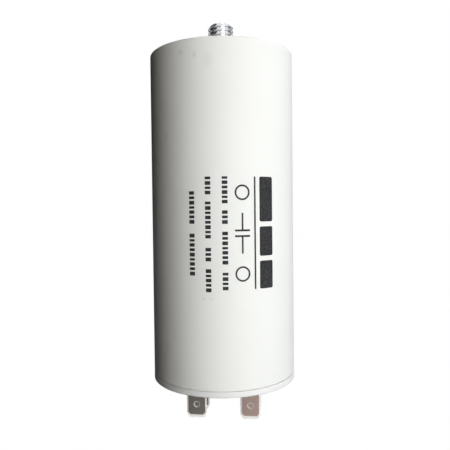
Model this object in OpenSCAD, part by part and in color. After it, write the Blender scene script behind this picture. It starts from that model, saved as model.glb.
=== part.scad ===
// Motor run capacitor: moulded can with a mounting stud, lid with double blade terminals,
// and the wound film element, leads and potting inside.
// Millimetres. The origin is the centre of the seat at the can's closed end, +Z along the stud.

/* [Can] */
// Outside diameter of the can and of the lid's flange
can_d = 45; // [42:0.5:60]
// Height of the can from its seat to the seam with the lid
can_h = 99.5; // [80:0.5:140]
// Thickness of the can's side wall
can_wall = 1.6; // [1.2:0.1:2.2]
// Thickness of the can's closed end
can_base = 2.4; // [2:0.1:4]
// Radius of the outer edge round the seat
can_edge_r = 0.3; // [0.2:0.1:1]
// Radius of the inner corner under the closed end
can_corner_r = 1.6; // [0.6:0.1:2.4]
// Radius where the boss meets the closed end
boss_root_r = 1; // [0.4:0.1:1.4]
// Plastic round and under the stud's head
boss_wall = 2; // [1.5:0.1:3]

/* [Mounting stud] */
// Thread diameter of the stud
stud_d = 8; // [6:0.1:10]
// Length of the stud above the seat
stud_l = 10.7; // [8:0.1:16]
// Height of the bevel at the stud's tip
stud_bevel_h = 1; // [0.5:0.1:2]
// Width of the bevel at the stud's tip
stud_bevel_w = 1.3; // [0.5:0.1:2]
// How much thinner the stud's neck is where the can is moulded round it
neck_step = 0.8; // [0.4:0.1:1.2]
// Width across the flats of the moulded-in head
head_af = 13; // [12:0.5:15]
// Thickness of the moulded-in head
head_t = 3.2; // [2.6:0.1:5]
// Plastic between the seat and the head
head_cover = 2; // [1.6:0.1:3]
// Gap round the stud in the shallow recess at the seat
relief_gap = 0.6; // [0.3:0.1:1.2]
// Depth of the recess round the stud
relief_depth = 0.4; // [0.2:0.1:0.8]

/* [Lid] */
// Thickness of the lid's flange
lid_t = 2.2; // [1.8:0.1:3]
// Radius of the flange's outer edge
lid_edge_r = 0.5; // [0.2:0.1:0.8]
// Height of the groove that runs round the seam
seam_gap = 0.3; // [0.2:0.05:0.5]
// Depth of the groove that runs round the seam
seam_depth = 0.6; // [0.3:0.1:0.9]
// Bevel of the can's rim and of the flange, on both sides of the groove
seam_bevel = 0.2; // [0.1:0.05:0.4]
// Height of the ring that plugs the can
plug_h = 5; // [3:0.5:8]
// Thickness of the ring that plugs the can
plug_wall = 1.5; // [1:0.1:2]
// Gap between the plug ring and the can's bore
plug_clearance = 0.1; // [0.05:0.05:0.2]
// Lead-in bevel of the plug ring
plug_bevel = 0.6; // [0.3:0.1:0.8]
// Depth of the pocket that keeps each terminal from turning
pocket_depth = 0.5; // [0.3:0.1:0.7]
// Gap between a terminal and the sides of its pocket
pocket_clearance = 0.15; // [0.05:0.05:0.3]

/* [Double blade terminals] */
// Distance between the two poles
pole_pitch = 17.2; // [15:0.2:20]
// Width of a blade
blade_w = 6.3; // [4.8:0.1:6.5]
// Thickness of the blade strip
blade_t = 0.8; // [0.5:0.05:1]
// Free gap between the two blades of a pole
blade_gap = 6.4; // [5.6:0.1:8]
// Distance from the lid's face to the blade tips
blade_reach = 13.1; // [11:0.1:16]
// Inner radius of the strip's bends
blade_bend_r = 0.6; // [0.3:0.1:0.7]
// Flat left in the middle of the strip's rounded long edges
blade_edge_flat = 0.1; // [0.05:0.05:0.3]
// Length of the thinned lead-in at a blade's tip
tip_l = 1; // [0.5:0.1:1.4]
// Thickness left at a blade's tip
tip_t = 0.36; // [0.3:0.02:0.45]
// Width of the bevel at each corner of a blade's tip
tip_corner_w = 0.9; // [0.5:0.1:1.4]
// Height of the bevel at each corner of a blade's tip
tip_corner_h = 1.5; // [0.8:0.1:1.8]
// Diameter of a blade's locking hole
lock_hole_d = 1.7; // [1.4:0.1:2]
// Distance from the locking hole to the tip
lock_hole_from_tip = 4.3; // [3.6:0.1:4.7]

/* [Rivets] */
// Diameter of a rivet's shank
rivet_d = 3; // [2.4:0.1:3.4]
// Gap between a rivet's shank and its holes
rivet_clearance = 0.05; // [0.02:0.01:0.1]
// Diameter of a rivet's domed head
rivet_head_d = 4.4; // [4:0.1:4.6]
// Height of a rivet's domed head
rivet_head_h = 0.9; // [0.6:0.1:1.2]
// Height of the clenched end on the solder tag
rivet_clench_h = 0.6; // [0.4:0.1:0.8]

/* [Solder tags] */
// Thickness of the tag's strip
tag_t = 0.5; // [0.4:0.05:0.8]
// Width of the tag
tag_w = 5.2; // [5:0.1:6]
// Height of the tag's ear above the lid
tag_h = 6.5; // [5.5:0.1:9]
// Distance from the rivet's axis to the ear's inner side
tag_ear_x = 3.8; // [3.5:0.1:4.5]
// Inner radius of the tag's bend
tag_bend_r = 0.5; // [0.3:0.1:0.7]
// Distance from the wire hole to the top of the ear
tag_hole_from_top = 1.7; // [1.4:0.1:2]

/* [Leads] */
// Diameter of a lead's wire
wire_d = 0.9; // [0.6:0.1:1]
// Outside diameter of the sleeve on a lead
sleeve_d = 1.6; // [1.4:0.1:1.8]
// Gap between the wire and its sleeve
sleeve_clearance = 0.05; // [0.02:0.01:0.1]
// Length of bare wire that stands past the tag's ear
bare_past = 1.2; // [0.9:0.1:1.4]
// Length of bare wire between the sleeve and the element's end
bare_end = 1.6; // [1.3:0.1:2]
// Gap between the wire and its hole in the tag
wire_clearance = 0.05; // [0.02:0.01:0.1]
// Bend radius of a lead at its middle
lead_bend_r = 1.5; // [1.2:0.1:1.8]

/* [Solder] */
// Height of a cone of solder round a wire
solder_h = 0.8; // [0.5:0.1:1.2]
// Diameter of a cone of solder at its foot
solder_foot_d = 2.6; // [2:0.1:3]
// Thickness of the solder round the wire at the cone's top
solder_top_t = 0.2; // [0.1:0.05:0.4]

/* [Film element] */
// Gap between the wound element and the can's wall
side_gap = 2.3; // [2.2:0.1:3]
// Gap between the boss and the element's end
boss_gap = 2; // [1:0.5:5]
// Diameter of the winding core
core_d = 8; // [6:0.5:10]
// Bore of the winding core
core_bore = 5.4; // [3:0.2:5.6]
// Thickness of the sprayed metal on each end
spray_t = 0.6; // [0.4:0.1:1]
// Depth of potting over the element's end at the lid
potting_cover = 4.5; // [4.2:0.1:8]
// Air space between the potting and what stands on the lid
head_space = 2.5; // [1:0.5:6]

/* [Hidden] */
$fn = 96;
// Overshoot of a cutting shape past the face that it cuts
cut = 1;

can_r = can_d / 2;
bore_r = can_r - can_wall;
stud_r = stud_d / 2;
neck_d = stud_d - neck_step;
// The head's circle through its corners
head_corner_d = head_af / cos(30);
boss_r = head_corner_d / 2 + boss_wall;
boss_depth = head_cover + head_t + boss_wall;
lid_face = -can_h - lid_t;
plug_r = bore_r - plug_clearance;

// The two poles: A lies on -X, B on +X
pole_x = pole_pitch / 2;
pole_b_turn = 0;
pole_a_turn = 180;
tab_l = blade_gap + 2 * blade_t;
blade_edge_r = (blade_t - blade_edge_flat) / 2;
tab_foot = lid_face + pocket_depth;
tab_h = blade_reach + pocket_depth;
rivet_hole_d = rivet_d + 2 * rivet_clearance;
rivet_grip = blade_t + lid_t - pocket_depth + tag_t;
clench_d = rivet_d + 2 * rivet_clench_h;

// Inside of the can, from the lid up
lid_stack_h = max(plug_h, tag_h);
potting_face = -can_h + lid_stack_h + head_space;
element_low = potting_face + potting_cover;
element_high = -boss_depth - boss_gap;
element_h = element_high - element_low;
winding_r = bore_r - side_gap;
lead_side_x = bore_r - side_gap / 2;
lead_end_x = lead_side_x - 2 * lead_bend_r;
tag_hole_d = wire_d + 2 * wire_clearance;
sleeve_bore = wire_d + 2 * sleeve_clearance;
wire_z = -can_h + tag_h - tag_hole_from_top;

// Rounds the outer corner of a rectangle that starts on the axis, w wide and h high
module rounded_corner_square(w, h, r) {
    square([w, h - r]);
    square([w - r, h]);
    translate([w - r, h - r]) circle(r);
}

// Fills the inner corner at the origin with a fillet of radius r
module corner_fillet(r) {
    difference() {
        square(r);
        translate([r, r]) circle(r);
    }
}

// A strip's profile: a foot along +X and a leg along +Y, joined by a round bend
module bent_strip(foot, leg, t, r) {
    outer = r + t;
    translate([outer, 0]) square([foot - outer, t]);
    translate([0, outer]) square([t, leg - outer]);
    translate([outer, outer]) intersection() {
        difference() {
            circle(outer);
            circle(r);
        }
        translate([-outer, -outer]) square(outer);
    }
}

// Places a pole's piece, which is drawn for the pole on +X
module at_pole(turn) {
    rotate([0, 0, turn]) translate([pole_x, 0, 0]) children();
}

// Stands a flat profile up in the XZ plane, with its depth centred on Y
module upright(depth) {
    rotate([90, 0, 0]) linear_extrude(depth, center = true) children();
}

// The space inside the can, open at the seam
module can_cavity() {
    rotate_extrude() {
        difference() {
            translate([0, -can_h]) rounded_corner_square(bore_r, can_h - can_base, can_corner_r);
            translate([0, -boss_depth]) square([boss_r, boss_depth]);
            translate([boss_r, -can_base]) mirror([0, 1]) corner_fillet(boss_root_r);
        }
    }
}

// Moulded cup with the boss that holds the stud's head
module can() {
    color("ivory") difference() {
        rotate_extrude() difference() {
            translate([0, -can_h]) rounded_corner_square(can_r, can_h, can_edge_r);
            translate([can_r, -can_h]) rotate(45) square(seam_bevel * sqrt(2), center = true);
        }
        can_cavity();
        stud_neck();
        stud_head();
        translate([0, 0, -relief_depth]) cylinder(r = stud_r + relief_gap, h = relief_depth + cut);
        // opens the cavity through the rim
        translate([0, 0, -can_h - cut]) cylinder(r = bore_r, h = cut);
    }
}

module stud_neck() {
    translate([0, 0, -head_cover]) cylinder(d = neck_d, h = head_cover);
}

module stud_head() {
    translate([0, 0, -head_cover - head_t]) cylinder(d = head_corner_d, h = head_t, $fn = 6);
}

// Threaded stud with its hexagon head, which the can is moulded round
module mounting_stud() {
    straight_l = stud_l - stud_bevel_h;
    color("silver") union() {
        stud_head();
        stud_neck();
        cylinder(r = stud_r, h = straight_l);
        translate([0, 0, straight_l]) cylinder(r1 = stud_r, r2 = stud_r - stud_bevel_w, h = stud_bevel_h);
    }
}

// Lid with a flange on the can's rim, a plug ring in its bore and a pocket for each terminal
module lid() {
    color("whitesmoke") difference() {
        rotate_extrude() {
            difference() {
                translate([0, -can_h]) mirror([0, 1]) rounded_corner_square(can_r, lid_t, lid_edge_r);
                translate([can_r - seam_depth, -can_h - seam_gap]) square([seam_depth + cut, seam_gap + cut]);
                translate([can_r, -can_h - seam_gap]) rotate(45) square(seam_bevel * sqrt(2), center = true);
            }
            difference() {
                translate([plug_r - plug_wall, -can_h]) square([plug_wall, plug_h]);
                translate([plug_r, -can_h + plug_h]) rotate(45) square(plug_bevel * sqrt(2), center = true);
            }
        }
        for (turn = [pole_a_turn, pole_b_turn]) at_pole(turn) {
            terminal_pocket();
            rivet_hole();
        }
    }
}

module terminal_pocket() {
    pocket_w = blade_w + 2 * pocket_clearance;
    pocket_l = tab_l + 2 * pocket_clearance;
    translate([-pocket_w / 2, -pocket_l / 2, lid_face - cut]) cube([pocket_w, pocket_l, pocket_depth + cut]);
}

module rivet_hole() {
    translate([0, 0, lid_face - cut]) cylinder(d = rivet_hole_d, h = lid_t + 2 * cut);
}

// Section of the terminals' strip, with its rounded long edges
module strip_section() {
    r = blade_edge_r;
    square([blade_w - 2 * r, blade_t], center = true);
    square([blade_w, blade_t - 2 * r], center = true);
    for (x = [r - blade_w / 2, blade_w / 2 - r], y = [r - blade_t / 2, blade_t / 2 - r])
        translate([x, y]) circle(r);
}

// Half of a terminal's strip: half the foot along +Y, one bend and one blade along +Z
module half_strip() {
    bend_mid_r = blade_bend_r + blade_t / 2;
    bend_y = tab_l / 2 - blade_t - blade_bend_r;
    bend_z = blade_t + blade_bend_r;
    translate([0, 0, blade_t / 2]) rotate([-90, 0, 0]) linear_extrude(bend_y) strip_section();
    translate([0, bend_y, bend_z]) {
        rotate([90, 0, 90]) rotate([0, 0, -90]) rotate_extrude(angle = 90)
            translate([bend_mid_r, 0]) rotate(90) strip_section();
        translate([0, bend_mid_r, 0]) linear_extrude(tab_h - bend_z) strip_section();
    }
}

// What is pressed off both faces of the blade on +Y to thin its tip
module tip_faces() {
    thin = (blade_t - tip_t) / 2;
    for (face = [0, 1]) translate([0, tab_l / 2 - blade_t / 2, tab_h]) mirror([0, face, 0])
        translate([0, blade_t / 2, 0]) rotate([90, 0, 90]) linear_extrude(blade_w + 2 * cut, center = true)
            polygon([[cut, cut], [cut, -tip_l], [0, -tip_l], [-thin, 0], [-thin, cut]]);
}

// What is cut off the two corners of the blades' tips, seen from the front
module tip_corners() {
    past_tip_w = tip_corner_w + cut * tip_corner_w / tip_corner_h;
    for (side = [0, 1]) mirror([side, 0, 0]) translate([blade_w / 2, 0, tab_h]) upright(tab_l + 2 * cut)
        polygon([[0, -tip_corner_h], [cut, -tip_corner_h], [cut, cut], [-past_tip_w, cut]]);
}

// Strip bent into two parallel blades, with its foot in the lid's pocket
module double_tab() {
    translate([0, 0, tab_foot]) mirror([0, 0, 1]) difference() {
        for (side = [0, 1]) mirror([0, side, 0]) half_strip();
        for (side = [0, 1]) mirror([0, side, 0]) tip_faces();
        tip_corners();
        cylinder(d = rivet_hole_d, h = 2 * (blade_t + cut), center = true);
        translate([0, 0, tab_h - lock_hole_from_tip]) rotate([90, 0, 0])
            cylinder(d = lock_hole_d, h = tab_l + cut, center = true);
    }
}

module double_tab_a() {
    color("rosybrown") at_pole(pole_a_turn) double_tab();
}

module double_tab_b() {
    color("rosybrown") at_pole(pole_b_turn) double_tab();
}

// Rivet from the terminal's foot through the lid to the solder tag
module rivet() {
    head_r = rivet_head_d / 2;
    // radius of the sphere whose cap is the head
    dome_r = (head_r * head_r + rivet_head_h * rivet_head_h) / (2 * rivet_head_h);
    clench_r = clench_d / 2;
    head_z = tab_foot - blade_t;
    translate([0, 0, head_z]) rotate_extrude() {
        intersection() {
            translate([0, dome_r - rivet_head_h]) circle(dome_r);
            translate([0, -rivet_head_h]) square([head_r, rivet_head_h]);
        }
        square([rivet_d / 2, rivet_grip]);
        translate([0, rivet_grip]) intersection() {
            square([clench_r, rivet_clench_h]);
            union() {
                square([clench_r - rivet_clench_h, rivet_clench_h]);
                translate([clench_r - rivet_clench_h, 0]) circle(rivet_clench_h);
            }
        }
    }
}

module rivet_a() {
    color("lightgray") at_pole(pole_a_turn) rivet();
}

module rivet_b() {
    color("lightgray") at_pole(pole_b_turn) rivet();
}

// Tag under the rivet's clench, with an ear that holds the lead's bare end
module solder_tag() {
    foot_l = tag_ear_x + tag_w / 2;
    translate([0, 0, -can_h]) difference() {
        intersection() {
            translate([-tag_ear_x, 0, 0]) upright(tag_w) bent_strip(foot_l, tag_h, tag_t, tag_bend_r);
            linear_extrude(tag_h) {
                circle(d = tag_w);
                translate([-tag_ear_x, -tag_w / 2]) square([tag_ear_x, tag_w]);
            }
        }
        cylinder(d = rivet_hole_d, h = 2 * (tag_t + cut), center = true);
        translate([-tag_ear_x, 0, tag_h - tag_hole_from_top]) rotate([0, 90, 0])
            cylinder(d = tag_hole_d, h = 2 * (tag_t + cut), center = true);
    }
}

module solder_tag_a() {
    color("gainsboro") at_pole(pole_a_turn) solder_tag();
}

module solder_tag_b() {
    color("gainsboro") at_pole(pole_b_turn) solder_tag();
}

// A straight stretch of lead along +Z, with what follows at its end
module straight(d, l) {
    cylinder(d = d, h = l);
    translate([0, 0, l]) children();
}

// A quarter bend from +Z to +X, with what follows at its end
module bend(d) {
    translate([lead_bend_r, 0, 0]) rotate([90, 0, 180]) rotate_extrude(angle = 90)
        translate([lead_bend_r, 0]) circle(d = d);
    translate([lead_bend_r, 0, lead_bend_r]) rotate([0, 90, 0]) children();
}

// Turns what follows about the lead, so that its next bend goes the other way
module roll_over() {
    rotate([0, 0, 180]) children();
}

// Places what follows in the tag's ear, where the sleeve starts, looking along the lead
module at_ear(turn) {
    at_pole(turn) translate([tag_t - tag_ear_x, 0, wire_z]) rotate([0, 90, 0]) roll_over() children();
}

// A lead's first bend, from the ear to over the rivet, pointing up
module first_bend(d) {
    straight(d, tag_ear_x - tag_t - lead_bend_r) bend(d) children();
}

// Sleeved run of the short lead, straight up to the element's end at the lid
module route_a(d) {
    rise = element_low - bare_end - wire_z - lead_bend_r;
    at_ear(pole_a_turn) first_bend(d) straight(d, rise) children();
}

// Sleeved run of the long lead, up the element's side and over to its end at the stud
module route_b(d) {
    // the lead crosses to the can's wall in the middle of the potting under the element
    crossing_z = element_low - potting_cover / 2;
    rise = crossing_z - wire_z - 2 * lead_bend_r;
    crossing = lead_side_x - pole_x - 2 * lead_bend_r;
    side_run = element_high + bare_end - crossing_z - lead_bend_r;
    at_ear(pole_b_turn) first_bend(d)
        straight(d, rise) roll_over() bend(d) straight(d, crossing) roll_over() bend(d)
        straight(d, side_run) bend(d) bend(d) children();
}

// A wire's bare start, through the tag's ear
module bare_start(d) {
    l = tag_t + bare_past;
    translate([0, 0, -l]) cylinder(d = d, h = l);
}

module lead_a() {
    color("peru") union() {
        at_ear(pole_a_turn) bare_start(wire_d);
        route_a(wire_d) cylinder(d = wire_d, h = bare_end);
    }
}

module lead_b() {
    color("peru") union() {
        at_ear(pole_b_turn) bare_start(wire_d);
        route_b(wire_d) cylinder(d = wire_d, h = bare_end);
    }
}

module sleeve_a() {
    color("firebrick") difference() {
        route_a(sleeve_d);
        at_ear(pole_a_turn) bare_start(sleeve_bore);
        route_a(sleeve_bore) cylinder(d = sleeve_bore, h = bare_end);
    }
}

module sleeve_b() {
    color("midnightblue") difference() {
        route_b(sleeve_d);
        at_ear(pole_b_turn) bare_start(sleeve_bore);
        route_b(sleeve_bore) cylinder(d = sleeve_bore, h = bare_end);
    }
}

// Cone of solder round a wire along +Z, narrowing from its foot at the origin
module solder_cone() {
    difference() {
        cylinder(d1 = solder_foot_d, d2 = wire_d + 2 * solder_top_t, h = solder_h);
        translate([0, 0, -cut]) cylinder(d = wire_d, h = solder_h + 2 * cut);
    }
}

// Solder on the ear's outer face
module tag_solder() {
    translate([0, 0, -tag_t]) mirror([0, 0, 1]) solder_cone();
}

module tag_solder_a() {
    color("darkgray") at_ear(pole_a_turn) tag_solder();
}

module tag_solder_b() {
    color("darkgray") at_ear(pole_b_turn) tag_solder();
}

// Solder on the sprayed end at the lid, where the short lead meets it
module end_solder_a() {
    color("darkgray") at_pole(pole_a_turn) translate([0, 0, element_low]) mirror([0, 0, 1]) solder_cone();
}

// Solder on the sprayed end at the stud, where the long lead meets it
module end_solder_b() {
    color("darkgray") translate([lead_end_x, 0, element_high]) solder_cone();
}

// Metallised film, wound tight round the core
module winding() {
    color("lightsteelblue") translate([0, 0, element_low + spray_t]) difference() {
        cylinder(r = winding_r, h = element_h - 2 * spray_t);
        translate([0, 0, -cut]) cylinder(d = core_d, h = element_h + 2 * cut);
    }
}

// Tube that the film is wound on
module winding_core() {
    color("tan") translate([0, 0, element_low]) difference() {
        cylinder(d = core_d, h = element_h);
        translate([0, 0, -cut]) cylinder(d = core_bore, h = element_h + 2 * cut);
    }
}

// Sprayed metal that joins the film's edges at one end
module end_spray() {
    difference() {
        cylinder(r = winding_r, h = spray_t);
        translate([0, 0, -cut]) cylinder(d = core_d, h = spray_t + 2 * cut);
    }
}

module spray_stud_end() {
    color("darkgray") translate([0, 0, element_high - spray_t]) end_spray();
}

module spray_lid_end() {
    color("darkgray") translate([0, 0, element_low]) end_spray();
}

// Resin that fills the can round the element, up to its level near the lid
module potting() {
    color("burlywood") difference() {
        intersection() {
            can_cavity();
            translate([0, 0, potting_face]) cylinder(r = can_r, h = -potting_face);
        }
        difference() {
            translate([0, 0, element_low]) cylinder(r = winding_r, h = element_h);
            translate([0, 0, element_low - cut]) cylinder(d = core_bore, h = element_h + 2 * cut);
        }
        route_a(sleeve_d);
        route_b(sleeve_d);
        lead_a();
        lead_b();
        end_solder_a();
        end_solder_b();
    }
}

can();
mounting_stud();
lid();
double_tab_a();
double_tab_b();
rivet_a();
rivet_b();
solder_tag_a();
solder_tag_b();
lead_a();
lead_b();
sleeve_a();
sleeve_b();
tag_solder_a();
tag_solder_b();
end_solder_a();
end_solder_b();
winding();
winding_core();
spray_stud_end();
spray_lid_end();
potting();
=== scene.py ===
import math

import bpy
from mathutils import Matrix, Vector


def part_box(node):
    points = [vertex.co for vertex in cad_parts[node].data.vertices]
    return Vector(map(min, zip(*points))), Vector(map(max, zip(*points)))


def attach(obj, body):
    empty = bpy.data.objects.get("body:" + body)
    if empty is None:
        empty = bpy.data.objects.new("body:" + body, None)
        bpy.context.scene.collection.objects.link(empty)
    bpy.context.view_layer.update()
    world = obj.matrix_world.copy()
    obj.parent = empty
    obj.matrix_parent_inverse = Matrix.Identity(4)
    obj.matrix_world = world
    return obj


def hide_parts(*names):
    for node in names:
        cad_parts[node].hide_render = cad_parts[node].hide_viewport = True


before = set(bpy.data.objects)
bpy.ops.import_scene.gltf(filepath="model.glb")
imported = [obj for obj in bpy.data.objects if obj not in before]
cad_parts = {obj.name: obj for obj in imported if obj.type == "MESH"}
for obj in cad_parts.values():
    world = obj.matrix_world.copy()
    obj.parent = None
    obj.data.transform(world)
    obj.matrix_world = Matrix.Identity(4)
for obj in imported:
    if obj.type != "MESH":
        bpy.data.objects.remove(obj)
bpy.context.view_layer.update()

MM = 0.001
TURN = 2 * math.pi

# Main places, from the frame
CAN_LOW, CAN_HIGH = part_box("can")
LID_LOW, LID_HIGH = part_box("lid")
STUD_LOW, STUD_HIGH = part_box("mounting_stud")
TAB_LOW, TAB_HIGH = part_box("double_tab_b")
CAN_R = CAN_HIGH.x
SEAT_Z = CAN_HIGH.z
SEAM_Z = CAN_LOW.z
LID_FACE_Z = LID_LOW.z
FLOOR_Z = TAB_LOW.z
POLE_X = (TAB_LOW.x + TAB_HIGH.x) / 2

# Can and lid sections
CAN_WALL = 1.6 * MM
CAN_BASE = 2.4 * MM
CAN_EDGE_R = 0.3 * MM
CAN_CORNER_R = 1.6 * MM
BOSS_WALL = 2 * MM
SEAM_BEVEL = 0.2 * MM
SEAM_GAP = 0.3 * MM
SEAM_DEPTH = 0.6 * MM
LID_EDGE_R = 0.5 * MM
PLUG_WALL = 1.5 * MM
PLUG_CLEARANCE = 0.1 * MM
PLUG_BEVEL = 0.6 * MM
POCKET_DEPTH = 0.5 * MM
POCKET_CLEARANCE = 0.15 * MM
BORE_R = CAN_R - CAN_WALL

# Ink, which lies flush with the can's size
INK_T = 0.015 * MM
INKED_R = CAN_R - INK_T

# Stud
STUD_R = 4 * MM
STUD_NECK_R = 3.6 * MM
STUD_BEVEL_W = 1.3 * MM
STUD_BEVEL_H = 1 * MM
STUD_TIP_INSET = 0.15 * MM
HEAD_COVER = 2 * MM
RELIEF_GAP = 0.6 * MM
RELIEF_DEPTH = 0.4 * MM
THREAD_PITCH = 1.25 * MM
THREAD_DEPTH = 0.767 * MM
THREAD_START = 0.29
THREAD_CREST_HALF = 1 / 16
THREAD_ROOT_EDGE = 3 / 8

# Blade terminals
BLADE_T = 0.8 * MM
BLADE_BEND_R = 0.6 * MM
TIP_L = 1 * MM
TIP_T = 0.36 * MM
TIP_CORNER_W = 0.9 * MM
TIP_CORNER_H = 1.5 * MM
LOCK_HOLE_R = 0.85 * MM
LOCK_HOLE_FROM_TIP = 4.3 * MM
EDGE_BREAK = 0.1 * MM
EDGE_BREAK_ANGLE = math.radians(40)
LONG_EDGE_ROUND = 0.35 * MM

# Rivets and their holes
RIVET_HOLE_R = 1.55 * MM
RIVET_SHANK_R = 1.5 * MM
RIVET_CLENCH_H = 0.6 * MM

# Lengths of the drills for the lid, the strip's foot and both blades of a terminal
LID_DRILL = 10 * MM
FOOT_DRILL = 4 * MM
BLADES_DRILL = 20 * MM

# Steps of round pieces, and how close two places count as one
ROUND_STEPS = 256
SMALL_ROUND_STEPS = 96
DRILL_STEPS = 48
THREAD_STEPS = 144
THREAD_RINGS = 36
NEAR = 0.01 * MM
MERGE_NEAR = 0.0005 * MM


def clear_selection():
    if bpy.context.object and bpy.context.object.mode != "OBJECT":
        bpy.ops.object.mode_set(mode="OBJECT")
    bpy.ops.object.select_all(action="DESELECT")


def pick(piece):
    clear_selection()
    piece.select_set(True)
    bpy.context.view_layer.objects.active = piece


def edit(piece):
    """Opens a piece in edit mode, with all of it selected."""
    pick(piece)
    bpy.ops.object.mode_set(mode="EDIT")
    bpy.ops.mesh.select_all(action="SELECT")


def name_piece(piece, name):
    piece.name = name
    piece.data.name = name


def trace(name, points):
    """Extrudes a vertex along a path of points, and stays in edit mode with the whole path selected."""
    path = [Vector(point) for point in points]
    clear_selection()
    bpy.ops.mesh.primitive_plane_add(size=MM)
    piece = bpy.context.object
    name_piece(piece, name)
    bpy.ops.object.mode_set(mode="EDIT")
    bpy.ops.mesh.merge(type="CENTER")
    bpy.ops.transform.translate(value=path[0])
    for here, there in zip(path, path[1:]):
        bpy.ops.mesh.extrude_region_move(TRANSFORM_OT_translate={"value": there - here})
    bpy.ops.mesh.select_all(action="SELECT")
    return piece


def tidy_shell():
    """Merges the doubled points of the shell in edit mode, turns its faces outwards and leaves edit mode."""
    bpy.ops.mesh.select_all(action="SELECT")
    bpy.ops.mesh.remove_doubles(threshold=MERGE_NEAR)
    bpy.ops.mesh.normals_make_consistent(inside=False)
    bpy.ops.object.mode_set(mode="OBJECT")


def lathe(name, section, steps):
    """Spins a section of (radius, height) points round the Z axis."""
    piece = trace(name, [(radius, 0, height) for radius, height in section])
    bpy.ops.mesh.spin(steps=steps, angle=TURN, center=(0, 0, 0), axis=(0, 0, 1))
    tidy_shell()
    return piece


def arc(centre, radius, start_deg, end_deg, steps=6):
    """Points of a section's round corner."""
    angles = [math.radians(start_deg + (end_deg - start_deg) * i / steps) for i in range(steps + 1)]
    return [(centre[0] + radius * math.cos(a), centre[1] + radius * math.sin(a)) for a in angles]


def apply_modifier(piece, kind, **settings):
    pick(piece)
    modifier = piece.modifiers.new(kind.title(), kind)
    for key, value in settings.items():
        setattr(modifier, key, value)
    bpy.ops.object.modifier_apply(modifier=modifier.name)


def cut_away(piece, cutters):
    for cutter in cutters:
        apply_modifier(piece, "BOOLEAN", operation="DIFFERENCE", object=cutter, solver="EXACT")
        bpy.data.objects.remove(cutter)


def smooth(piece, angle_deg=35):
    pick(piece)
    bpy.ops.object.shade_smooth_by_angle(angle=math.radians(angle_deg))


def drill(radius, length, place, turn=(0, 0, 0)):
    """A round cutter, centred on a place and along Z unless it is turned."""
    clear_selection()
    bpy.ops.mesh.primitive_cylinder_add(
        vertices=DRILL_STEPS, radius=radius, depth=length, location=place, rotation=turn)
    return bpy.context.object


def box_cutter(low, high):
    clear_selection()
    bpy.ops.mesh.primitive_cube_add(size=1, location=(low + high) / 2, scale=high - low)
    return bpy.context.object


def join_pieces(pieces):
    """Joins pieces into the first of them."""
    clear_selection()
    for piece in pieces:
        piece.select_set(True)
    bpy.context.view_layer.objects.active = pieces[0]
    bpy.ops.object.join()
    return pieces[0]


def stand_for(piece, node):
    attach(piece, "root")
    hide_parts(node)


class Socket:
    """A shader value: operators on it add Math nodes."""

    def __init__(self, tree, socket):
        self.tree = tree
        self.socket = socket

    def sibling(self, output):
        """Another output of the same node."""
        return Socket(self.tree, self.socket.node.outputs[output])

    def math(self, operation, *others):
        return self.tree.node("ShaderNodeMath", {"operation": operation}, [self, *others])

    def __add__(self, other):
        return self.math("ADD", other)

    def __sub__(self, other):
        return self.math("SUBTRACT", other)

    def __rsub__(self, other):
        return self.tree.node("ShaderNodeMath", {"operation": "SUBTRACT"}, [other, self])

    def __mul__(self, other):
        return self.math("MULTIPLY", other)

    def __gt__(self, other):
        return self.math("GREATER_THAN", other)

    __radd__ = __add__
    __rmul__ = __mul__

    def absolute(self):
        return self.math("ABSOLUTE")

    def maximum(self, other):
        return self.math("MAXIMUM", other)

    def power(self, other):
        return self.math("POWER", other)

    def clamp(self):
        return self.tree.node("ShaderNodeClamp", {}, [self])

    def fade(self, limits):
        """Rises from 0 at the first limit to 1 at the second."""
        values = {"Value": self, "From Min": limits[0], "From Max": limits[1]}
        return self.tree.node("ShaderNodeMapRange", {}, values)


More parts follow.
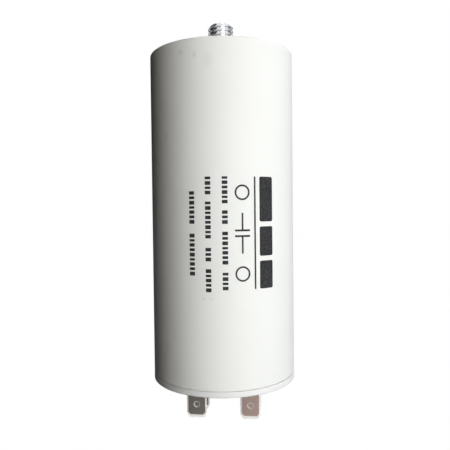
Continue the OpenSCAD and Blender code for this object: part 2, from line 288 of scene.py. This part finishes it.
class Tree:
    """A material's or the world's node tree."""

    def __init__(self, owner):
        owner.use_nodes = True
        self.tree = owner.node_tree
        self.tree.nodes.clear()

    def node(self, kind, settings, inputs, output=0):
        made = self.tree.nodes.new(kind)
        for key, value in settings.items():
            setattr(made, key, value)
        pairs = inputs.items() if isinstance(inputs, dict) else enumerate(inputs)
        for key, value in pairs:
            if isinstance(value, Socket):
                self.tree.links.new(value.socket, made.inputs[key])
            else:
                made.inputs[key].default_value = value
        return Socket(self, made.outputs[output])

    def vector(self, operation, *values):
        return self.node("ShaderNodeVectorMath", {"operation": operation}, values)

    def measure(self, operation, *values):
        """A number worked out from vectors, such as a length."""
        return self.node("ShaderNodeVectorMath", {"operation": operation}, values, "Value")

    def place(self):
        """Object coordinates in millimetres."""
        spot = self.node("ShaderNodeTexCoord", {}, {}, "Object")
        return self.node("ShaderNodeVectorMath", {"operation": "SCALE"}, {0: spot, "Scale": 1 / MM})

    def along_x(self, place):
        """A place's X; its siblings are Y and Z."""
        return self.node("ShaderNodeSeparateXYZ", {}, [place], "X")

    def noise(self, place, size_mm, detail, roughness=0.5):
        """Cloudy noise between 0 and 1, with features of about the given size."""
        values = {"Vector": place, "Scale": 1 / size_mm, "Detail": detail, "Roughness": roughness}
        return self.node("ShaderNodeTexNoise", {}, values, "Fac")

    def drawn_lines(self, place, stretch):
        """Fine lines of drawn metal: noise that is squeezed along each axis by its stretch."""
        squeezed = self.node("ShaderNodeMapping", {}, {"Vector": place, "Scale": stretch})
        return self.noise(squeezed, size_mm=0.25, detail=3, roughness=0.6)

    def mix(self, factor, first, second):
        """A colour between two others; the colours are the Mix node's inputs 6 and 7."""
        values = {0: factor, 6: first, 7: second}
        return self.node("ShaderNodeMix", {"data_type": "RGBA"}, values, 2)

    def bump(self, height, distance_mm, strength):
        values = {"Height": height, "Distance": distance_mm * MM, "Strength": strength}
        return self.node("ShaderNodeBump", {}, values)

    def emission(self, colour, strength=1.0):
        return self.node("ShaderNodeEmission", {}, {"Color": colour, "Strength": strength})

    def mix_shader(self, factor, first, second):
        return self.node("ShaderNodeMixShader", {}, [factor, first, second])

    def end(self, shader, output_kind="ShaderNodeOutputMaterial"):
        output = self.tree.nodes.new(output_kind)
        self.tree.links.new(shader.socket, output.inputs["Surface"])

    def end_surface(self, values):
        """Ends a material with a surface of the given values."""
        self.end(self.node("ShaderNodeBsdfPrincipled", {}, values))


def new_material(name):
    """A new material, with its node tree and its place."""
    material = bpy.data.materials.new(name)
    tree = Tree(material)
    return material, tree, tree.place()


def dress(piece, material):
    piece.data.materials.clear()
    piece.data.materials.append(material)


def grey(value):
    return (value, value, value, 1)


# Smudges on the can: azimuth in degrees, height, half width and half height in mm, and strength
SMUDGE_COLOUR = (0.4, 0.39, 0.37, 1)
SMUDGE_FADE = (1.0, 0.2)
SMUDGES = (
    (-24, -3.6, 1.2, 0.9, 0.28),
    (-13, -4.9, 0.7, 1.1, 0.24),
    (-3, -6.3, 2.0, 3.0, 0.1),
    (-40, -26.6, 1.0, 1.0, 0.2),
    (-7.7, -73.4, 0.8, 0.6, 0.2),
    (-2.5, -73.4, 0.8, 0.6, 0.16),
    (-41, -89, 2.0, 2.8, 0.1),
)
SPECK_LEVEL = 0.76
SPECK_STRENGTH = 0.35

# Specular level of plastic and ink
DULL_SPECULAR = 0.3

# Painted highlight on the blades, in mm: from a blade's middle, above its tip, round its hole and at its
# corners
SIDE_FADE = (2.66, 2.8)
TIP_FADE = (1.05, 0.9)
RIM_FADE = (1.05, 0.92)
CORNER_FADE = (0.9, 1.1)
EDGE_HIGHLIGHT_COLOUR = (0.9, 0.88, 0.85, 1)
BLADE_GRAIN = (6, 6, 0.6)

# Fresh and worn ink
INK_BLACK = (0.018, 0.018, 0.02, 1)
INK_WORN = (0.16, 0.16, 0.16, 1)


def smudge(tree, place, azimuth, height, half_width, half_height):
    """A soft spot on the can's wall: 1 in its middle and 0 at its edge."""
    angle = math.radians(azimuth)
    middle = (CAN_R / MM * math.sin(angle), -CAN_R / MM * math.cos(angle), height)
    away = tree.vector("SUBTRACT", place, middle)
    share = tree.vector("DIVIDE", away, (half_width, half_width, half_height))
    return tree.measure("LENGTH", share).fade(SMUDGE_FADE)


def moulded_plastic(name, colour, shade, roughness, grain_mm, smudges=()):
    """White moulded plastic: faint cloudiness, tiny specks, smudges and the fine grain of the mould."""
    material, tree, place = new_material(name)
    clouds = tree.noise(place, size_mm=14, detail=3)
    specks = (tree.noise(place, size_mm=0.9, detail=1) > SPECK_LEVEL) * SPECK_STRENGTH
    tone = tree.mix((clouds * 0.6 + specks).clamp(), colour, shade)
    blotchy = tree.noise(place, size_mm=0.8, detail=2) + 0.5
    for *where, strength in smudges:
        spot = smudge(tree, place, *where)
        tone = tree.mix((spot * blotchy * strength).clamp(), tone, SMUDGE_COLOUR)
    grain = tree.noise(place, grain_mm, detail=3, roughness=0.6)
    swirl = tree.noise(place, size_mm=5, detail=2)
    tree.end_surface({
        "Base Color": tone,
        "Roughness": roughness + swirl * 0.08,
        "Specular IOR Level": DULL_SPECULAR,
        "Normal": tree.bump(grain * 0.6 + swirl * 0.4, distance_mm=0.012, strength=0.5),
    })
    return material


def tarnished(tree, clouds, colour, tarnish):
    return tree.mix((clouds * 1.5 - 0.25).clamp(), colour, tarnish)


def metal(name, colour, tarnish, roughness, cloud_mm, grain_stretch, bump_mm):
    """Plated metal: cloudy tarnish, drawn grain and a little unevenness."""
    material, tree, place = new_material(name)
    clouds = tree.noise(place, cloud_mm, detail=4, roughness=0.6)
    lines = tree.drawn_lines(place, grain_stretch)
    tree.end_surface({
        "Base Color": tarnished(tree, clouds, colour, tarnish),
        "Metallic": 1.0,
        "Roughness": roughness + lines * 0.1 + clouds * 0.08,
        "Normal": tree.bump(lines * 0.5 + clouds, bump_mm, strength=0.6),
    })
    return material


def blade_metal(name, colour, tarnish):
    """Dull tinned strip, with a painted highlight (a brighter, rougher and less metallic colour) at its side
    edges, coined tips, holes and corners.
    """
    material, tree, place = new_material(name)
    clouds = tree.noise(place, size_mm=2.2, detail=4, roughness=0.6)
    lines = tree.drawn_lines(place, BLADE_GRAIN)
    across = tree.along_x(place)
    from_middle = (across.absolute() - POLE_X / MM).absolute()
    above_tip = across.sibling("Z") - FLOOR_Z / MM
    above_hole = above_tip - LOCK_HOLE_FROM_TIP / MM
    from_hole = (from_middle * from_middle + above_hole * above_hole).power(0.5)
    # Painted highlight: a near-white, less metallic colour where the blades' edges, tip bevels and hole rims
    # glint
    painted_edge_highlight = from_middle.fade(SIDE_FADE).maximum(above_tip.fade(TIP_FADE)).maximum(from_hole.fade(RIM_FADE))
    painted_edge_highlight = painted_edge_highlight.maximum((from_middle - above_tip).fade(CORNER_FADE))
    tree.end_surface({
        "Base Color": tree.mix(painted_edge_highlight, tarnished(tree, clouds, colour, tarnish), EDGE_HIGHLIGHT_COLOUR),
        "Metallic": 1 - painted_edge_highlight * 0.7,
        "Roughness": 0.16 + lines * 0.16 + clouds * 0.08 + painted_edge_highlight * 0.3,
        "Normal": tree.bump(lines * 0.5 + clouds, distance_mm=0.01, strength=0.6),
    })
    return material


def plain_inner(name, colour, second, roughness, size_mm, metallic=0.0):
    """Finish of a piece sealed inside the can."""
    material, tree, place = new_material(name)
    clouds = tree.noise(place, size_mm, detail=3)
    tree.end_surface({
        "Base Color": tree.mix(clouds, colour, second),
        "Metallic": metallic,
        "Roughness": roughness + clouds * 0.2,
        "Normal": tree.bump(clouds, distance_mm=0.05, strength=0.5),
    })
    return material


def printing_ink():
    """Thin black ink, a little worn where the plastic's grain shows through."""
    material, tree, place = new_material("printing_ink")
    worn = tree.noise(place, size_mm=0.5, detail=3, roughness=0.6)
    tree.end_surface({
        "Base Color": tree.mix((worn - 0.45).clamp(), INK_BLACK, INK_WORN),
        "Roughness": 0.5 + worn * 0.2,
        "Specular IOR Level": DULL_SPECULAR,
        "Normal": tree.bump(worn, distance_mm=0.01, strength=0.5),
    })
    return material


# Finishes of the pieces that show
can_white = moulded_plastic(
    "can_white", (0.84, 0.835, 0.81, 1), (0.79, 0.785, 0.755, 1),
    roughness=0.5, grain_mm=0.25, smudges=SMUDGES)
lid_white = moulded_plastic(
    "lid_white", (0.79, 0.785, 0.775, 1), (0.74, 0.735, 0.72, 1),
    roughness=0.52, grain_mm=0.3)
zinc_plate = metal(
    "zinc_plate", (0.9, 0.91, 0.92, 1), (0.82, 0.83, 0.85, 1),
    roughness=0.03, cloud_mm=3, grain_stretch=(1, 1, 6), bump_mm=0.004)
# Painted shade and light: the same blade metal as a darker copy for pair a and a brighter, pinker copy for
# pair b, for how the light falls on each
tab_metal_shaded_copy_a = blade_metal("tab_metal_shaded_copy_a", (0.56, 0.5, 0.46, 1), (0.47, 0.42, 0.38, 1))
tab_metal_lit_copy_b = blade_metal("tab_metal_lit_copy_b", (0.86, 0.64, 0.58, 1), (0.76, 0.56, 0.5, 1))
rivet_plate = metal(
    "rivet_plate", (0.66, 0.65, 0.63, 1), (0.5, 0.49, 0.47, 1),
    roughness=0.24, cloud_mm=1.6, grain_stretch=(1, 1, 1), bump_mm=0.02)
ink = printing_ink()

# Finishes inside the can: two colours, roughness, size of the clouds in mm and how much of it is metal
tag_tin = metal(
    "tag_tin", (0.72, 0.7, 0.66, 1), (0.58, 0.56, 0.52, 1),
    roughness=0.3, cloud_mm=2, grain_stretch=(1, 1, 1), bump_mm=0.02)
lead_copper = plain_inner("lead_copper", (0.72, 0.42, 0.28, 1), (0.6, 0.34, 0.22, 1), 0.3, 0.4, 1.0)
red_sleeve = plain_inner("red_sleeve", (0.55, 0.05, 0.04, 1), (0.48, 0.04, 0.03, 1), 0.3, 1)
blue_sleeve = plain_inner("blue_sleeve", (0.04, 0.08, 0.38, 1), (0.03, 0.06, 0.3, 1), 0.3, 1)
soft_solder = plain_inner("soft_solder", (0.6, 0.6, 0.61, 1), (0.5, 0.5, 0.51, 1), 0.25, 0.6, 1.0)
film_roll = plain_inner("film_roll", (0.62, 0.66, 0.7, 1), (0.5, 0.54, 0.58, 1), 0.2, 6, 0.4)
core_tube = plain_inner("core_tube", (0.75, 0.7, 0.6, 1), (0.68, 0.63, 0.53, 1), 0.4, 2)
sprayed_zinc = plain_inner("sprayed_zinc", grey(0.5), grey(0.36), 0.55, 0.4, 1.0)
cast_resin = plain_inner("cast_resin", (0.5, 0.4, 0.26, 1), (0.42, 0.33, 0.2, 1), 0.25, 8)
INNER_FINISH = {
    "solder_tag_a": tag_tin,
    "solder_tag_b": tag_tin,
    "lead_a": lead_copper,
    "lead_b": lead_copper,
    "sleeve_a": red_sleeve,
    "sleeve_b": blue_sleeve,
    "tag_solder_a": soft_solder,
    "tag_solder_b": soft_solder,
    "end_solder_a": soft_solder,
    "end_solder_b": soft_solder,
    "winding": film_roll,
    "winding_core": core_tube,
    "spray_stud_end": sprayed_zinc,
    "spray_lid_end": sprayed_zinc,
    "potting": cast_resin,
}


def make_can():
    head_r = STUD_HIGH.x
    head_low = STUD_LOW.z
    boss_r = head_r + BOSS_WALL
    boss_low = head_low - BOSS_WALL
    relief_r = STUD_R + RELIEF_GAP
    base_z = SEAT_Z - CAN_BASE
    section = [(0, head_low), (head_r, head_low), (head_r, -HEAD_COVER), (STUD_NECK_R, -HEAD_COVER)]
    section += [(STUD_NECK_R, -RELIEF_DEPTH), (relief_r, -RELIEF_DEPTH), (relief_r, SEAT_Z)]
    section += arc((INKED_R - CAN_EDGE_R, SEAT_Z - CAN_EDGE_R), CAN_EDGE_R, 90, 0, steps=8)
    section += arc((INKED_R - SEAM_BEVEL, SEAM_Z + SEAM_BEVEL), SEAM_BEVEL, 0, -90, steps=3)
    section += [(BORE_R, SEAM_Z)]
    section += arc((BORE_R - CAN_CORNER_R, base_z - CAN_CORNER_R), CAN_CORNER_R, 0, 90)
    section += [(boss_r, base_z), (boss_r, boss_low), (0, boss_low)]
    piece = lathe("can_shell", section, ROUND_STEPS)
    smooth(piece)
    dress(piece, can_white)
    stand_for(piece, "can")


def make_lid():
    plug_r = BORE_R - PLUG_CLEARANCE
    plug_inner = plug_r - PLUG_WALL
    groove_r = CAN_R - SEAM_DEPTH
    groove_low = SEAM_Z - SEAM_GAP
    section = [(0, LID_FACE_Z)]
    section += arc((CAN_R - LID_EDGE_R, LID_FACE_Z + LID_EDGE_R), LID_EDGE_R, -90, 0)
    section += arc((CAN_R - SEAM_BEVEL, groove_low - SEAM_BEVEL), SEAM_BEVEL, 0, 90, steps=3)
    section += [(groove_r, groove_low), (groove_r, SEAM_Z), (plug_r, SEAM_Z)]
    section += [(plug_r, LID_HIGH.z - PLUG_BEVEL), (plug_r - PLUG_BEVEL, LID_HIGH.z)]
    section += [(plug_inner, LID_HIGH.z), (plug_inner, SEAM_Z), (0, SEAM_Z)]
    piece = lathe("lid_cover", section, ROUND_STEPS)
    cutters = []
    margin = Vector((POCKET_CLEARANCE, POCKET_CLEARANCE, 0))
    for node in ("double_tab_a", "double_tab_b"):
        low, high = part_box(node)
        pocket_low = Vector((low.x, low.y, LID_FACE_Z - MM)) - margin
        pocket_high = Vector((high.x, high.y, LID_FACE_Z + POCKET_DEPTH)) + margin
        cutters.append(box_cutter(pocket_low, pocket_high))
        cutters.append(drill(RIVET_HOLE_R, LID_DRILL, ((low.x + high.x) / 2, 0, LID_FACE_Z)))
    cut_away(piece, cutters)
    edit(piece)
    tidy_shell()
    smooth(piece)
    dress(piece, lid_white)
    stand_for(piece, "lid")


def thread_cut(place):
    """Depth of the thread, from 0 at the crest to 1 at the root, at a place in turns."""
    from_crest = abs(place % 1 - 0.5)
    flank = THREAD_ROOT_EDGE - THREAD_CREST_HALF
    down = min(max((from_crest - THREAD_CREST_HALF) / flank, 0), 1)
    rounded = down * down * (3 - 2 * down)
    return (down + rounded) / 2


def cut_thread(piece, tip_z, tip_r):
    """Moves the shank's points inwards along the thread and the bevelled tip."""
    for vertex in piece.data.vertices:
        spot = vertex.co
        radius = math.hypot(spot.x, spot.y)
        if radius < STUD_R - NEAR or spot.z < SEAT_Z:
            continue
        turns = spot.z / THREAD_PITCH - math.atan2(spot.y, spot.x) / TURN - THREAD_START
        bevelled = tip_r + (tip_z - spot.z) * STUD_BEVEL_W / STUD_BEVEL_H
        wanted = min(STUD_R - THREAD_DEPTH * thread_cut(turns), bevelled)
        spot.x *= wanted / radius
        spot.y *= wanted / radius


def make_stud():
    tip_z = STUD_HIGH.z
    tip_r = STUD_R - STUD_BEVEL_W
    rings = round(THREAD_RINGS * (tip_z - SEAT_Z) / THREAD_PITCH)
    section = [(0, -HEAD_COVER), (STUD_NECK_R, -HEAD_COVER), (STUD_NECK_R, SEAT_Z)]
    section += [(STUD_R, SEAT_Z + (tip_z - SEAT_Z) * i / rings) for i in range(rings + 1)]
    section += [(tip_r - STUD_TIP_INSET, tip_z), (0, tip_z)]
    piece = lathe("threaded_stud", section, THREAD_STEPS)
    cut_thread(piece, tip_z, tip_r)
    head_h = -HEAD_COVER - STUD_LOW.z
    clear_selection()
    bpy.ops.mesh.primitive_cylinder_add(
        vertices=6, radius=STUD_HIGH.x, depth=head_h,
        location=(0, 0, STUD_LOW.z + head_h / 2), rotation=(0, 0, math.pi / 6))
    bpy.ops.object.transform_apply(location=True, rotation=True, scale=True)
    join_pieces([piece, bpy.context.object])
    smooth(piece, 30)
    dress(piece, zinc_plate)
    stand_for(piece, "mounting_stud")


def round_long_edges(piece, low, high):
    """Rounds the rolled edges of a terminal's strip, from tip to tip."""
    pick(piece)
    bpy.ops.object.mode_set(mode="EDIT")
    bpy.ops.mesh.select_mode(type="EDGE")
    bpy.ops.mesh.select_all(action="DESELECT")
    bpy.ops.object.mode_set(mode="OBJECT")
    for edge in piece.data.edges:
        ends = [piece.data.vertices[i].co for i in edge.vertices]
        on_side = any(all(abs(end.x - side) < NEAR for end in ends) for side in (low.x, high.x))
        above_tip = max(end.z for end in ends) > low.z + TIP_CORNER_H + NEAR
        through_strip = abs((ends[0] - ends[1]).length - BLADE_T) < NEAR
        edge.select = on_side and above_tip and not through_strip
    bpy.ops.object.mode_set(mode="EDIT")
    bpy.ops.mesh.bevel(offset=LONG_EDGE_ROUND, segments=4, affect="EDGES")
    bpy.ops.mesh.select_mode(type="VERT")
    bpy.ops.object.mode_set(mode="OBJECT")


def bent_strip(name, low, high, blade_y, foot_z):
    """The terminal's strip, bent into two blades, with square ends."""
    bend_r = BLADE_BEND_R + BLADE_T / 2
    front = [(-blade_y, low.z), (-blade_y, low.z + TIP_L)]
    front += arc((bend_r - blade_y, foot_z - bend_r), bend_r, 180, 90)
    rear = [(-y, z) for y, z in reversed(front)]
    piece = trace(name, [(low.x, y, z) for y, z in front + rear])
    bpy.ops.mesh.extrude_region_move(TRANSFORM_OT_translate={"value": (high.x - low.x, 0, 0)})
    bpy.ops.mesh.select_all(action="SELECT")
    bpy.ops.mesh.normals_make_consistent(inside=False)
    bpy.ops.object.mode_set(mode="OBJECT")
    apply_modifier(piece, "SOLIDIFY", thickness=BLADE_T, offset=0, use_even_offset=True)
    return piece


def coin_tips(piece, low, high, blade_y):
    """Thins the tips of both blades and bevels their corners."""
    for vertex in piece.data.vertices:
        if vertex.co.z < low.z + TIP_L / 2:
            middle = math.copysign(blade_y, vertex.co.y)
            vertex.co.y = middle + (vertex.co.y - middle) * TIP_T / BLADE_T
    bpy.ops.object.mode_set(mode="EDIT")
    for edge_x, side in ((low.x, -1), (high.x, 1)):
        bpy.ops.mesh.select_all(action="SELECT")
        outwards = Vector((side * TIP_CORNER_H, 0, -TIP_CORNER_W)).normalized()
        bpy.ops.mesh.bisect(
            plane_co=(edge_x, 0, low.z + TIP_CORNER_H), plane_no=outwards, use_fill=True, clear_outer=True)
    tidy_shell()


def make_double_tab(node, name, finish):
    low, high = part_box(node)
    middle_x = (low.x + high.x) / 2
    foot_z = high.z - BLADE_T / 2
    blade_y = high.y - BLADE_T / 2
    hole_z = low.z + LOCK_HOLE_FROM_TIP
    piece = bent_strip(name, low, high, blade_y, foot_z)
    coin_tips(piece, low, high, blade_y)
    cut_away(piece, [
        drill(LOCK_HOLE_R, BLADES_DRILL, (middle_x, 0, hole_z), turn=(math.pi / 2, 0, 0)),
        drill(RIVET_HOLE_R, FOOT_DRILL, (middle_x, 0, foot_z)),
    ])
    round_long_edges(piece, low, high)
    apply_modifier(
        piece, "BEVEL", width=EDGE_BREAK, segments=2, limit_method="ANGLE", angle_limit=EDGE_BREAK_ANGLE)
    edit(piece)
    tidy_shell()
    smooth(piece, 60)
    apply_modifier(piece, "WEIGHTED_NORMAL", keep_sharp=True, weight=100)
    dress(piece, finish)
    stand_for(piece, node)


def make_rivet(node, name):
    low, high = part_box(node)
    head_z = TAB_HIGH.z - BLADE_T
    head_h = head_z - low.z
    head_r = (high.x - low.x) / 2
    clench_z = high.z - RIVET_CLENCH_H
    dome_r = (head_r * head_r + head_h * head_h) / (2 * head_h)
    rim_deg = math.degrees(math.asin(head_r / dome_r))
    section = arc((0, low.z + dome_r), dome_r, -90, rim_deg - 90, steps=10)
    section += [(RIVET_SHANK_R, head_z), (RIVET_SHANK_R, clench_z)]
    section += arc((RIVET_SHANK_R, clench_z), RIVET_CLENCH_H, 0, 90)
    section += [(0, high.z)]
    piece = lathe(name, section, SMALL_ROUND_STEPS)
    edit(piece)
    bpy.ops.transform.translate(value=((low.x + high.x) / 2, 0, 0))
    bpy.ops.object.mode_set(mode="OBJECT")
    smooth(piece, 40)
    dress(piece, rivet_plate)
    stand_for(piece, node)


make_can()
make_lid()
make_stud()
make_double_tab("double_tab_a", "blade_pair_a", tab_metal_shaded_copy_a)
make_double_tab("double_tab_b", "blade_pair_b", tab_metal_lit_copy_b)
make_rivet("rivet_a", "tab_rivet_a")
make_rivet("rivet_b", "tab_rivet_b")
for node, finish in INNER_FINISH.items():
    dress(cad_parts[node], finish)

# Print: plain shapes, laid out flat as (across, along) in mm and wrapped round the can
PRINT_AZIMUTH = 6.5
PRINT_TOP = -39
PRINT_SLICE = 0.5

# Three broad bars and a rule: across, along, width, length and corner
BROAD_BARS = (
    (13.2, 6.4, 4.6, 12.8, 0.5),
    (13.2, 18.4, 4.6, 8.4, 0.5),
    (13.2, 28, 4.6, 8, 0.5),
    (9.4, 16, 0.5, 32, 0.2),
)
# Two rings, and between them a capacitor's circuit sign of two plates and two wires
RINGS = ((5.6, 4.5), (5.6, 27.5))
RING_D = 4.4
RING_STROKE = 0.5
SIGN_BARS = (
    (5.6, 15.2, 4.4, 0.55, 0.1),
    (5.6, 16.8, 4.4, 0.55, 0.1),
    (5.6, 12.6, 0.5, 4.7, 0.1),
    (5.6, 19.4, 0.5, 4.7, 0.1),
)
# Lines of small blocks: across, and for each group its start along the line and how many blocks it has
BLOCK_LINES = (
    (0.6, ((0, 6), (9.5, 3), (15.5, 7), (27, 4))),
    (-4.2, ((0, 4), (7, 8), (20, 3), (26, 5))),
    (-9, ((4, 7), (16, 9))),
)
BLOCK_HEIGHT = 1.6
BLOCK_LENGTHS = (0.8, 1.1, 0.7, 1.0)
BLOCK_GAP = 0.45
BLOCK_CORNER = 0.1


def print_place(across, along):
    return (across * MM, 0, (PRINT_TOP - along) * MM)


def flat_bar(across, along, width, length, corner):
    clear_selection()
    bpy.ops.mesh.primitive_plane_add(size=MM, location=(0, 0, 0), rotation=(math.pi / 2, 0, 0))
    bpy.ops.object.mode_set(mode="EDIT")
    bpy.ops.transform.resize(value=(width, 1, length), center_override=(0, 0, 0))
    bpy.ops.transform.translate(value=print_place(across, along))
    bpy.ops.mesh.bevel(offset=corner * MM, segments=3, affect="VERTICES")
    bpy.ops.object.mode_set(mode="OBJECT")
    return bpy.context.object


def flat_ring(across, along):
    clear_selection()
    bpy.ops.mesh.primitive_circle_add(
        vertices=64, radius=RING_D * MM / 2, fill_type="NGON", rotation=(math.pi / 2, 0, 0))
    bpy.ops.object.mode_set(mode="EDIT")
    bpy.ops.transform.translate(value=print_place(across, along))
    bpy.ops.mesh.inset(thickness=RING_STROKE * MM)
    bpy.ops.mesh.delete(type="FACE")
    bpy.ops.object.mode_set(mode="OBJECT")
    return bpy.context.object


def block_line(across, groups):
    blocks = []
    for start, count in groups:
        along = start
        for i in range(count):
            length = BLOCK_LENGTHS[(i + count) % len(BLOCK_LENGTHS)]
            blocks.append(flat_bar(across, along + length / 2, BLOCK_HEIGHT, length, BLOCK_CORNER))
            along += length + BLOCK_GAP
    return blocks


def wrap_round_can(piece):
    """Slices flat shapes and bends them to the can's curve."""
    bpy.ops.object.mode_set(mode="EDIT")
    reach = max(abs(vertex.co.x) for vertex in piece.data.vertices)
    slices = int(reach / MM / PRINT_SLICE)
    for i in range(-slices, slices + 1):
        bpy.ops.mesh.select_all(action="SELECT")
        bpy.ops.mesh.bisect(plane_co=(i * PRINT_SLICE * MM, 0, 0), plane_no=(1, 0, 0))
    bpy.ops.object.mode_set(mode="OBJECT")
    for vertex in piece.data.vertices:
        angle = math.radians(PRINT_AZIMUTH) + vertex.co.x / INKED_R
        vertex.co.x = INKED_R * math.sin(angle)
        vertex.co.y = -INKED_R * math.cos(angle)


def make_print():
    shapes = [flat_bar(*bar) for bar in BROAD_BARS]
    shapes += [flat_ring(*ring) for ring in RINGS]
    shapes += [flat_bar(*bar) for bar in SIGN_BARS]
    for across, groups in BLOCK_LINES:
        shapes += block_line(across, groups)
    piece = join_pieces(shapes)
    bpy.ops.object.transform_apply(location=True, rotation=True, scale=True)
    name_piece(piece, "print")
    wrap_round_can(piece)
    apply_modifier(piece, "SOLIDIFY", thickness=INK_T, offset=1)
    smooth(piece)
    dress(piece, ink)
    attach(piece, "root")


make_print()

# Camera: angles in degrees
CAMERA_DISTANCE = 165.7 * MM
CAMERA_Z = -48.86 * MM
CAMERA_AZIMUTH = 6.5
CAMERA_PAN = 0.259
CAMERA_PITCH = 1.5
CAMERA_ROLL = 0.63
LENS_MM = 40.97
SENSOR_MM = 36

# Lamps: degrees to the right of the camera, distance, height, size, power, colour and if metal mirrors it
LAMP_AIM = Vector((0, 0, -50 * MM))
WARM = (1, 0.93, 0.84)
NEUTRAL = (1, 1, 1)
COOL = (0.9, 0.96, 1)
LAMPS = {
    "key": (18, 0.8, -0.05, (0.3, 0.4), 2.58, WARM, False),
    "front_right": (28, 0.8, -0.05, (0.5, 0.4), 2.9, NEUTRAL, True),
    "low": (39, 0.6, -0.09, (0.4, 0.04), 2.32, COOL, False),
    "right": (115, 0.28, 0.62, (0.2, 0.2), 2.7, COOL, False),
    "back": (182, 0.8, 0.1, (0.12, 0.2), 6.0, NEUTRAL, False),
}

# Cards that the metal mirrors: middle in degrees to the right of the camera, half width and brightness
LOW_CARDS = ((49, 43, 1.3), (-19, 26, 1.25), (-95, 40, 0.05), (115, 25, 0.5))
HIGH_CARDS = ((52, 46, 1.25), (-19, 26, 0.9), (155, 25, 0.9))
CARD_BLUR = 2
# Heights at which the low cards, the high cards and the sky start, as the sine of the angle above level
LOW_CARDS_START = (0.05, 0.2)
HIGH_CARDS_START = (0.35, 0.42)
SKY_START = (0.64, 0.72)
SKY_BRIGHTNESS = 1.1
BETWEEN_CARDS = grey(0.02)
AMBIENT = grey(0.005)

# Floor: its colour, and how bright and how much of it is plain white to the camera
FLOOR_SIZE = 6
FLOOR_MATT = grey(0.06)
FLOOR_BRIGHTNESS = 1.06
FLOOR_WHITE_SHARE = 0.94
# What metal mirrors of the floor, in mm: a white strip near the front blades' tips, and grey round it
STRIP_REACH = (22.0, 16.0)
STRIP_Y = -4.2
STRIP_HALF_WIDTH = (1.6, 1.0)
GREY_REACH = (-20.0, 20.0)
GREY_LEFT = grey(0.15)
GREY_RIGHT = grey(0.5)


def around(degrees, distance, height):
    """A place round the can, in degrees to the right of the camera."""
    angle = math.radians(CAMERA_AZIMUTH + degrees)
    return (distance * math.sin(angle), -distance * math.cos(angle), height)


def add_camera():
    data = bpy.data.cameras.new("camera")
    data.sensor_width = SENSOR_MM
    data.lens = LENS_MM
    data.clip_start = MM
    camera = bpy.data.objects.new("camera", data)
    bpy.context.scene.collection.objects.link(camera)
    camera.location = around(0, CAMERA_DISTANCE, CAMERA_Z)
    tilt = math.radians(90 - CAMERA_PITCH)
    heading = math.radians(CAMERA_AZIMUTH) - math.radians(CAMERA_PAN)
    camera.rotation_euler = (tilt, math.radians(CAMERA_ROLL), heading)
    bpy.context.scene.camera = camera


def seen_by(tree):
    """Masks of the rays from the camera and of the mirrored ones."""
    ray = tree.node("ShaderNodeLightPath", {}, {}, "Is Camera Ray")
    return ray, ray.sibling("Is Glossy Ray").maximum(ray.sibling("Is Transmission Ray"))


def add_floor():
    """White to the camera but for a faint shadow; in the metal, white only close to the object."""
    clear_selection()
    bpy.ops.mesh.primitive_plane_add(size=FLOOR_SIZE, location=(0, 0, FLOOR_Z))
    floor = bpy.context.object
    floor.name = "floor"
    material, tree, spot = new_material("floor_white")
    ray, glossy = seen_by(tree)
    across = tree.along_x(spot)
    close = tree.measure("LENGTH", spot).fade(STRIP_REACH)
    under_tips = (across.sibling("Y") - STRIP_Y).absolute().fade(STRIP_HALF_WIDTH)
    room = tree.mix(across.fade(GREY_REACH), GREY_LEFT, GREY_RIGHT)
    mirrored = tree.emission(tree.mix(close * under_tips, room, grey(1)))
    matt = tree.node("ShaderNodeBsdfDiffuse", {}, {"Color": FLOOR_MATT})
    white = tree.emission(grey(1), FLOOR_BRIGHTNESS)
    shown = tree.mix_shader(ray * FLOOR_WHITE_SHARE, matt, white)
    tree.end(tree.mix_shader(glossy, shown, mirrored))
    dress(floor, material)


def card_row(tree, heading, cards):
    """Brightness of a row of cards, in the direction of a heading."""
    row = None
    for middle, half_width, brightness in cards:
        facing = tree.measure("DOT_PRODUCT", heading, around(middle, 1, 0))
        limits = [math.cos(math.radians(half_width + blur)) for blur in (CARD_BLUR, -CARD_BLUR)]
        card = facing.fade(limits) * brightness
        row = card if row is None else row.maximum(card)
    return row


def add_world():
    """White to the camera, bright cards in the metal, and dim to everything else."""
    world = bpy.data.worlds.new("studio")
    bpy.context.scene.world = world
    tree = Tree(world)
    ray, glossy = seen_by(tree)
    towards = tree.node("ShaderNodeTexCoord", {}, {}, "Generated")
    height = tree.along_x(towards).sibling("Z")
    heading = tree.vector("NORMALIZE", tree.vector("MULTIPLY", towards, (1, 1, 0)))
    low_row = card_row(tree, heading, LOW_CARDS) * height.fade(LOW_CARDS_START)
    high_row = card_row(tree, heading, HIGH_CARDS)
    upwards = height.fade(HIGH_CARDS_START)
    sky = height.fade(SKY_START) * SKY_BRIGHTNESS
    mirrored = (low_row * (1 - upwards)).maximum(high_row * upwards).maximum(sky)
    lit = tree.mix(glossy, AMBIENT, tree.mix(mirrored, BETWEEN_CARDS, grey(1)))
    colour = tree.mix(ray, lit, grey(1))
    background = tree.node("ShaderNodeBackground", {}, {"Color": colour, "Strength": 1.0})
    tree.end(background, "ShaderNodeOutputWorld")


def add_lamp(name, degrees, distance, height, size, power, colour, mirrored):
    """A soft lamp; where the metal doesn't mirror it, the world's cards stand for it there."""
    data = bpy.data.lights.new(name, "AREA")
    data.shape = "RECTANGLE"
    data.size, data.size_y = size
    data.energy = power
    data.color = colour
    lamp = bpy.data.objects.new(name, data)
    bpy.context.scene.collection.objects.link(lamp)
    lamp.visible_glossy = mirrored
    lamp.location = around(degrees, distance, height)
    lamp.rotation_euler = (LAMP_AIM - lamp.location).to_track_quat("-Z", "Y").to_euler()


add_camera()
add_floor()
add_world()
for name, values in LAMPS.items():
    add_lamp(name, *values)
bpy.context.scene.view_settings.view_transform = "Standard"
